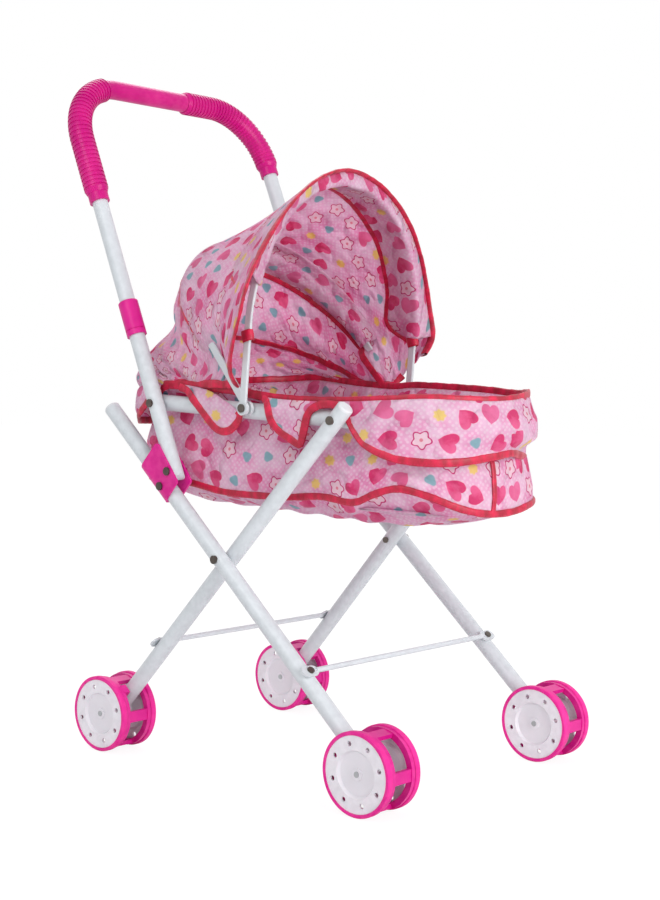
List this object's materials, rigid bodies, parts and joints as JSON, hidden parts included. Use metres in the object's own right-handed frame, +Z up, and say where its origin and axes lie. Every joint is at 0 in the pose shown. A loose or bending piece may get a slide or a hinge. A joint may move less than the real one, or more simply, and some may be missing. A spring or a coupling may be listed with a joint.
{
  "type": "doll stroller",
  "caption": "Folding toy stroller with crossed tube legs, twin wheels, fabric bassinet with a bow hood, and a U-shaped push handle with ribbed grips.",
  "frame": {"origin": "bottom centre of the bounding box, on the floor between the wheels", "axes": "+X forward, away from the pusher; +Y to the pusher's left; +Z up"},
  "size_m": [0.3978, 0.2616, 0.5679],
  "materials": {
    "white_paint": "gloss powder coat",
    "pink_plastic": "moulded, satin gloss",
    "grip_foam": "soft corrugated sleeve",
    "white_plastic": "moulded, satin",
    "tyre_pink": "hard moulded ring",
    "fabric_print": "thin printed polyester",
    "red_binding": "satin tape",
    "rivet_steel": "dull, darkened",
    "axle_steel": "plain"
  },
  "bodies": {
    "front_frame": {"axle_front_left": "axle_steel", "axle_front_right": "axle_steel", "bracket_left": "pink_plastic", "bracket_right": "pink_plastic", "bracket_rivets_left": "rivet_steel", "bracket_rivets_right": "rivet_steel", "cage_front_left": "pink_plastic", "cage_front_right": "pink_plastic", "front_cross_rod": "white_paint", "front_leg_left": "white_paint", "front_leg_plug_left": "white_plastic", "front_leg_plug_right": "white_plastic", "front_leg_right": "white_paint", "front_rod_screws": "rivet_steel", "scissor_rivets": "rivet_steel"},
    "rear_frame": {"axle_rear_left": "axle_steel", "axle_rear_right": "axle_steel", "cage_rear_left": "pink_plastic", "cage_rear_right": "pink_plastic", "rear_cross_rod": "white_paint", "rear_leg_left": "white_paint", "rear_leg_pins": "rivet_steel", "rear_leg_plug_left": "white_plastic", "rear_leg_plug_right": "white_plastic", "rear_leg_right": "white_paint", "rear_rod_screws": "rivet_steel"},
    "handle": {"grip_left": "grip_foam", "grip_right": "grip_foam", "handle_connector_left": "pink_plastic", "handle_connector_right": "pink_plastic", "handle_lower_tube_left": "white_paint", "handle_lower_tube_right": "white_paint", "handle_sleeve": "grip_foam", "handle_upper_tube": "white_paint"},
    "seat": {"bassinet_pad": "fabric_print", "bassinet_tub": "fabric_print", "front_skirt": "fabric_print", "hood_rivets": "rivet_steel", "rail_pins": "rivet_steel", "rear_skirt": "fabric_print", "rim_binding": "red_binding", "seat_front_bow": "white_paint", "seat_rail_left": "white_paint", "seat_rail_right": "white_paint", "seat_rear_bow": "white_paint", "seat_rivets": "rivet_steel", "side_flaps_left": "fabric_print", "side_flaps_right": "fabric_print"},
    "hood_front": {"hood_canopy": "fabric_print", "hood_front_bow": "white_paint"},
    "hood_rear": {"hood_back": "fabric_print", "hood_rear_bow": "white_paint"},
    "front_wheel_right": {"discs_front_right": "white_plastic", "tyres_front_right": "tyre_pink"},
    "front_wheel_left": {"discs_front_left": "white_plastic", "tyres_front_left": "tyre_pink"},
    "rear_wheel_right": {"discs_rear_right": "white_plastic", "tyres_rear_right": "tyre_pink"},
    "rear_wheel_left": {"discs_rear_left": "white_plastic", "tyres_rear_left": "tyre_pink"}
  },
  "joints": [
    {"name": "fold", "type": "hinge", "parent": "front_frame", "child": "rear_frame", "pos_m": [-0.00017, 0, 0.1695], "axis": [0, 1, 0], "range_deg": [0, 78], "deforming": ["bassinet_tub", "bassinet_pad", "rim_binding", "front_skirt", "rear_skirt", "side_flaps_right", "side_flaps_left", "hood_canopy", "hood_back"]},
    {"name": "handle_fold", "type": "hinge", "parent": "front_frame", "child": "handle", "pos_m": [-0.05199, 0, 0.23548], "axis": [0, 1, 0], "range_deg": [0, 133.6]},
    {"name": "seat_fold", "type": "hinge", "parent": "handle", "child": "seat", "pos_m": [-0.07469, 0, 0.28896], "axis": [0, 1, 0], "range_deg": [-92.83, 0]},
    {"name": "hood_fold", "type": "hinge", "parent": "seat", "child": "hood_front", "pos_m": [0.01332, 0, 0.28694], "axis": [0, -1, 0], "range_deg": [0, 76], "deforming": ["hood_canopy", "hood_back"]},
    {"name": "hood_rear_fold", "type": "hinge", "parent": "seat", "child": "hood_rear", "pos_m": [0.01332, 0, 0.28694], "axis": [0, -1, 0], "range_deg": [0, 34.7]},
    {"name": "front_wheel_spin_right", "type": "hinge", "parent": "front_frame", "child": "front_wheel_right", "pos_m": [0.15493, 0, 0.031], "axis": [0, 1, 0], "continuous": true},
    {"name": "front_wheel_spin_left", "type": "hinge", "parent": "front_frame", "child": "front_wheel_left", "pos_m": [0.15493, 0, 0.031], "axis": [0, 1, 0], "continuous": true},
    {"name": "rear_wheel_spin_right", "type": "hinge", "parent": "rear_frame", "child": "rear_wheel_right", "pos_m": [-0.12507, 0, 0.031], "axis": [0, 1, 0], "continuous": true},
    {"name": "rear_wheel_spin_left", "type": "hinge", "parent": "rear_frame", "child": "rear_wheel_left", "pos_m": [-0.12507, 0, 0.031], "axis": [0, 1, 0], "continuous": true}
  ],
  "couplings": [
    {"joint": "handle_fold", "follows": "fold", "ratio": 1.7064},
    {"joint": "seat_fold", "follows": "fold", "ratio": -1.1837},
    {"joint": "hood_rear_fold", "follows": "hood_fold", "ratio": 0.45}
  ]
}
